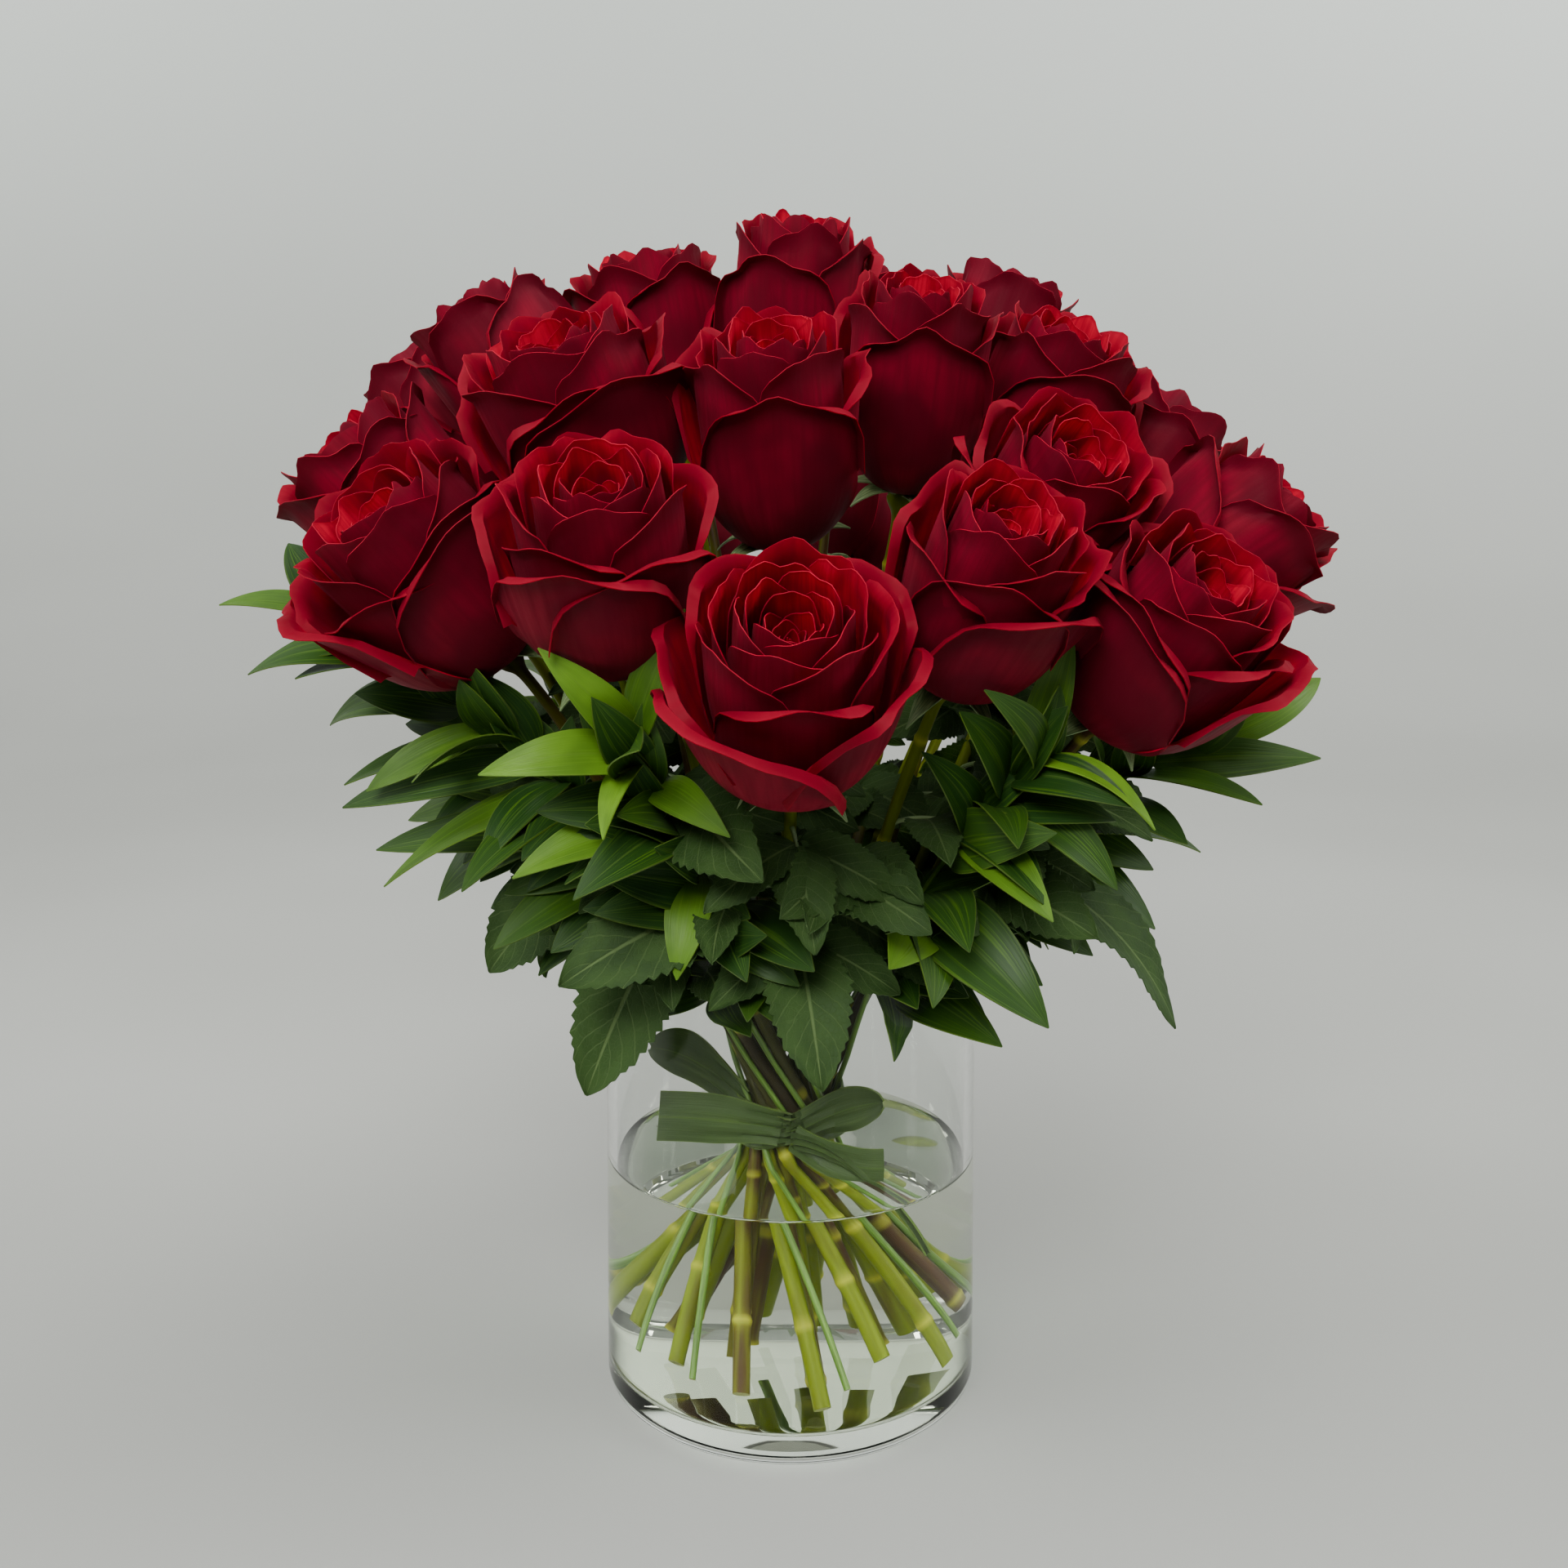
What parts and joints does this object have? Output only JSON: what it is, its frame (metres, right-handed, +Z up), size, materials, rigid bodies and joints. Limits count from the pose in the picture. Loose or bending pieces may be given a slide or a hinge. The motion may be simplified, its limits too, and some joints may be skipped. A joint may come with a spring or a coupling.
{
  "type": "roses in a vase",
  "caption": "Dome-shaped bouquet of dark red roses with ruscus foliage, spiral tied with a leaf, standing in a clear glass cylinder vase of water.",
  "frame": {"origin": "centre of the vase's flat underside", "axes": "+Z up the vase's axis; -Y is the front, the side the pictured view looks at; +X to the right in that view"},
  "size_m": [0.4509, 0.3945, 0.481],
  "materials": {
    "vase_glass": "polished",
    "water": "polished",
    "tie_leaf": "satin",
    "petals": "matte",
    "rose_stems": "satin",
    "ruscus": "satin"
  },
  "bodies": {
    "root": {"vase": "vase_glass", "water": "water", "tie_leaf": "tie_leaf", "rose_01_bloom": "petals", "rose_01_stem": "rose_stems", "rose_02_bloom": "petals", "rose_02_stem": "rose_stems", "rose_03_bloom": "petals", "rose_03_stem": "rose_stems", "rose_04_bloom": "petals", "rose_04_stem": "rose_stems", "rose_05_bloom": "petals", "rose_05_stem": "rose_stems", "rose_06_bloom": "petals", "rose_06_stem": "rose_stems", "rose_07_bloom": "petals", "rose_07_stem": "rose_stems", "rose_08_bloom": "petals", "rose_08_stem": "rose_stems", "rose_09_bloom": "petals", "rose_09_stem": "rose_stems", "rose_10_bloom": "petals", "rose_10_stem": "rose_stems", "rose_11_bloom": "petals", "rose_11_stem": "rose_stems", "rose_12_bloom": "petals", "rose_12_stem": "rose_stems", "rose_13_bloom": "petals", "rose_13_stem": "rose_stems", "rose_14_bloom": "petals", "rose_14_stem": "rose_stems", "rose_15_bloom": "petals", "rose_15_stem": "rose_stems", "rose_16_bloom": "petals", "rose_16_stem": "rose_stems", "rose_17_bloom": "petals", "rose_17_stem": "rose_stems", "rose_18_bloom": "petals", "rose_18_stem": "rose_stems", "rose_19_bloom": "petals", "rose_19_stem": "rose_stems", "rose_20_bloom": "petals", "rose_20_stem": "rose_stems", "rose_21_bloom": "petals", "rose_21_stem": "rose_stems", "rose_22_bloom": "petals", "rose_22_stem": "rose_stems", "rose_23_bloom": "petals", "rose_23_stem": "rose_stems", "rose_24_bloom": "petals", "rose_24_stem": "rose_stems", "ruscus_front_left": "ruscus", "ruscus_left": "ruscus", "ruscus_far_left": "ruscus", "ruscus_front_right": "ruscus", "ruscus_right": "ruscus", "ruscus_back_right": "ruscus", "ruscus_back": "ruscus", "ruscus_back_left": "ruscus"}
  },
  "joints": []
}
